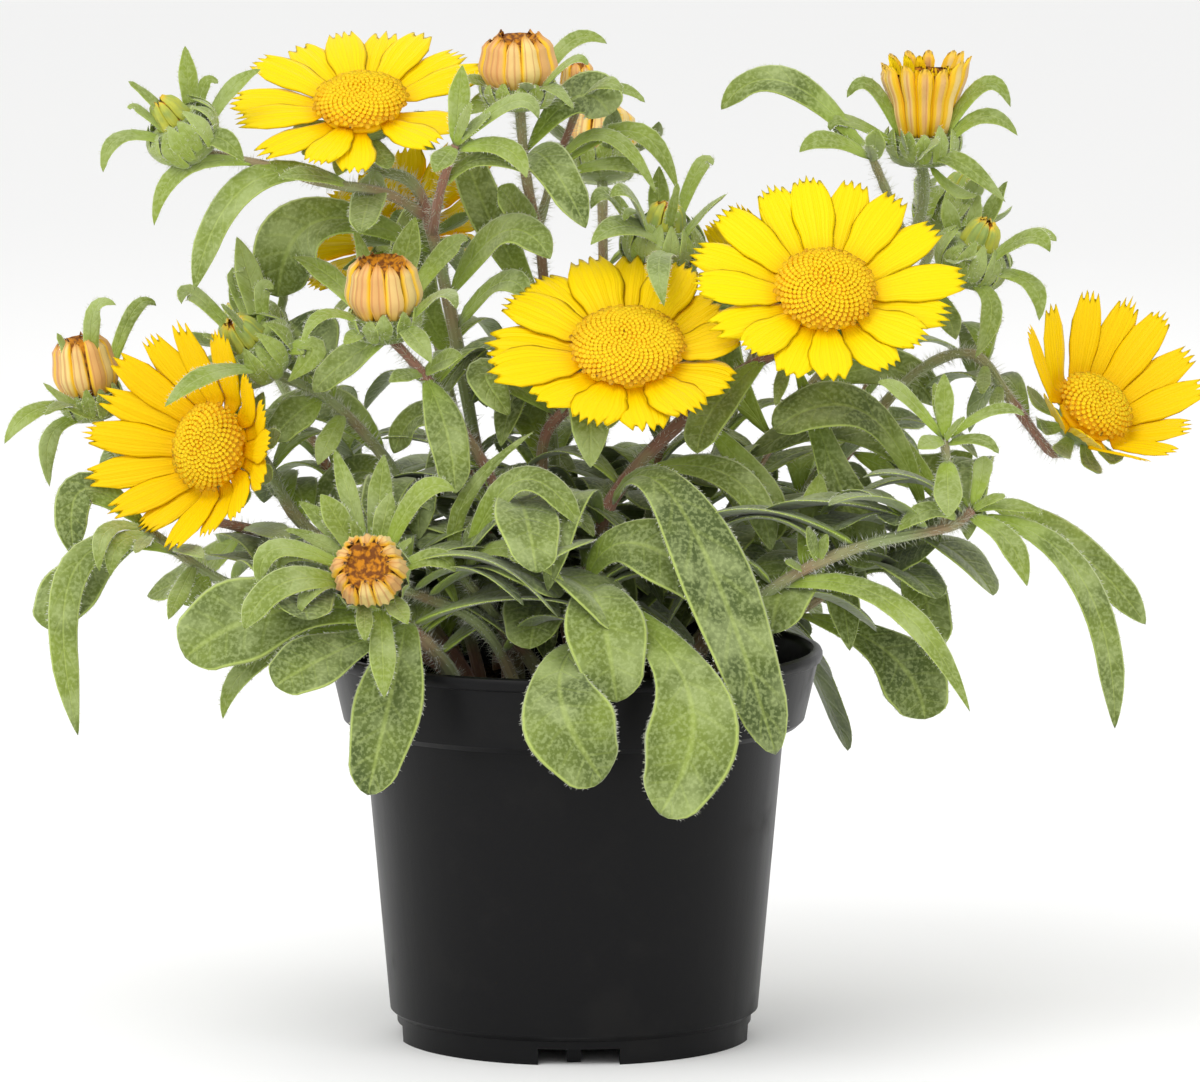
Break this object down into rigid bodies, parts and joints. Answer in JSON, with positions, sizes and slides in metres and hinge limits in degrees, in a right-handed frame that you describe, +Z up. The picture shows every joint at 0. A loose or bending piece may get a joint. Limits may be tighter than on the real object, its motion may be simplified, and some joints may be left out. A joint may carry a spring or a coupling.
{
  "type": "potted gold coin plant",
  "caption": "Low garden daisy with yellow toothed flowers, buds and soft grey-green leaves, in a black nursery pot",
  "frame": {"origin": "the middle of the crossed ribs that the pot stands on", "axes": "+Z is up, the plant's front faces -Y and its widest spread runs along X"},
  "size_m": [0.2532, 0.1488, 0.2131],
  "materials": {
    "pot": "satin",
    "soil": "matt and crumbly",
    "leaves": "soft with short hairs",
    "rays": "satin",
    "discs": "matt",
    "green_buds": "soft",
    "pale_buds": "satin"
  },
  "bodies": {
    "root": {"pot": "pot", "soil": "soil", "stem_upper_left": "leaves", "stem_top": "leaves", "stem_green_bud": "leaves", "stem_upper_right": "leaves", "stem_far_right": "leaves", "stem_right": "leaves", "stem_centre": "leaves", "stem_salmon_bud": "leaves", "stem_green_left": "leaves", "stem_left": "leaves", "shoot_left": "leaves", "shoot_right": "leaves", "shoot_low_right": "leaves", "stem_low_bud": "leaves", "rosette_front": "leaves", "rosette_front_left": "leaves", "rosette_left": "leaves", "stem_back_left": "leaves", "stem_back_left_bud": "leaves", "stem_back_middle": "leaves", "stem_back_right": "leaves", "stem_back_right_bud": "leaves", "rosette_back_left": "leaves", "rosette_back_right": "leaves", "bloom_upper_left_rays": "rays", "bloom_right_rays": "rays", "bloom_centre_rays": "rays", "bloom_left_rays": "rays", "bloom_far_right_rays": "rays", "bloom_back_left_rays": "rays", "bloom_back_right_rays": "rays", "bloom_upper_left_disc": "discs", "bloom_right_disc": "discs", "bloom_centre_disc": "discs", "bloom_left_disc": "discs", "bloom_far_right_disc": "discs", "bloom_back_left_disc": "discs", "bloom_back_right_disc": "discs", "bud_a_petals": "green_buds", "bud_b_petals": "pale_buds", "bud_c_petals": "green_buds", "bud_d_petals": "pale_buds", "bud_e_petals": "pale_buds", "bud_f_petals": "pale_buds", "bud_h_petals": "green_buds", "bud_i_petals": "pale_buds", "bud_k_petals": "green_buds", "bud_m_petals": "pale_buds", "bud_back_left_petals": "green_buds", "bud_back_middle_petals": "pale_buds", "bud_back_right_petals": "green_buds"}
  },
  "joints": []
}
